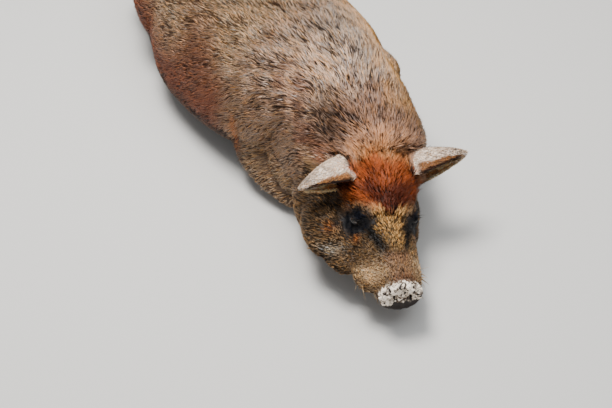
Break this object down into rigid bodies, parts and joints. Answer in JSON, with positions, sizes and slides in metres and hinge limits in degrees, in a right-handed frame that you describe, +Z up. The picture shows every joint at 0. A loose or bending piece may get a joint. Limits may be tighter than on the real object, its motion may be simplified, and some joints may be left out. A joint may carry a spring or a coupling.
{
  "type": "domestic pig",
  "caption": "Life-size resting domestic pig, lying on its breastbone with folded legs and its jaw on the ground, with cupped ears and a rust-brown bristled coat.",
  "frame": {"origin": "on the ground, under the middle of the pig's outline", "axes": "+X towards the snout, +Y towards the pig's left side, +Z up from the ground"},
  "size_m": [1.4391, 0.4876, 0.422],
  "materials": {
    "bristled_skin": "skin under a bristled coat",
    "hoof_horn": "dull dark horn",
    "eye": "wet and dark"
  },
  "bodies": {
    "root": {"head": "bristled_skin", "neck": "bristled_skin", "torso": "bristled_skin", "tail": "bristled_skin", "ear_left": "bristled_skin", "ear_right": "bristled_skin", "eye_left": "eye", "eye_right": "eye", "leg_front_left": "bristled_skin", "leg_front_right": "bristled_skin", "leg_hind_left": "bristled_skin", "leg_hind_right": "bristled_skin", "leg_front_left_claw_1": "hoof_horn", "leg_front_left_claw_2": "hoof_horn", "leg_front_left_dewclaw_1": "hoof_horn", "leg_front_left_dewclaw_2": "hoof_horn", "leg_front_right_claw_1": "hoof_horn", "leg_front_right_claw_2": "hoof_horn", "leg_front_right_dewclaw_1": "hoof_horn", "leg_front_right_dewclaw_2": "hoof_horn", "leg_hind_left_claw_1": "hoof_horn", "leg_hind_left_claw_2": "hoof_horn", "leg_hind_left_dewclaw_1": "hoof_horn", "leg_hind_left_dewclaw_2": "hoof_horn", "leg_hind_right_claw_1": "hoof_horn", "leg_hind_right_claw_2": "hoof_horn", "leg_hind_right_dewclaw_1": "hoof_horn", "leg_hind_right_dewclaw_2": "hoof_horn"}
  },
  "joints": []
}
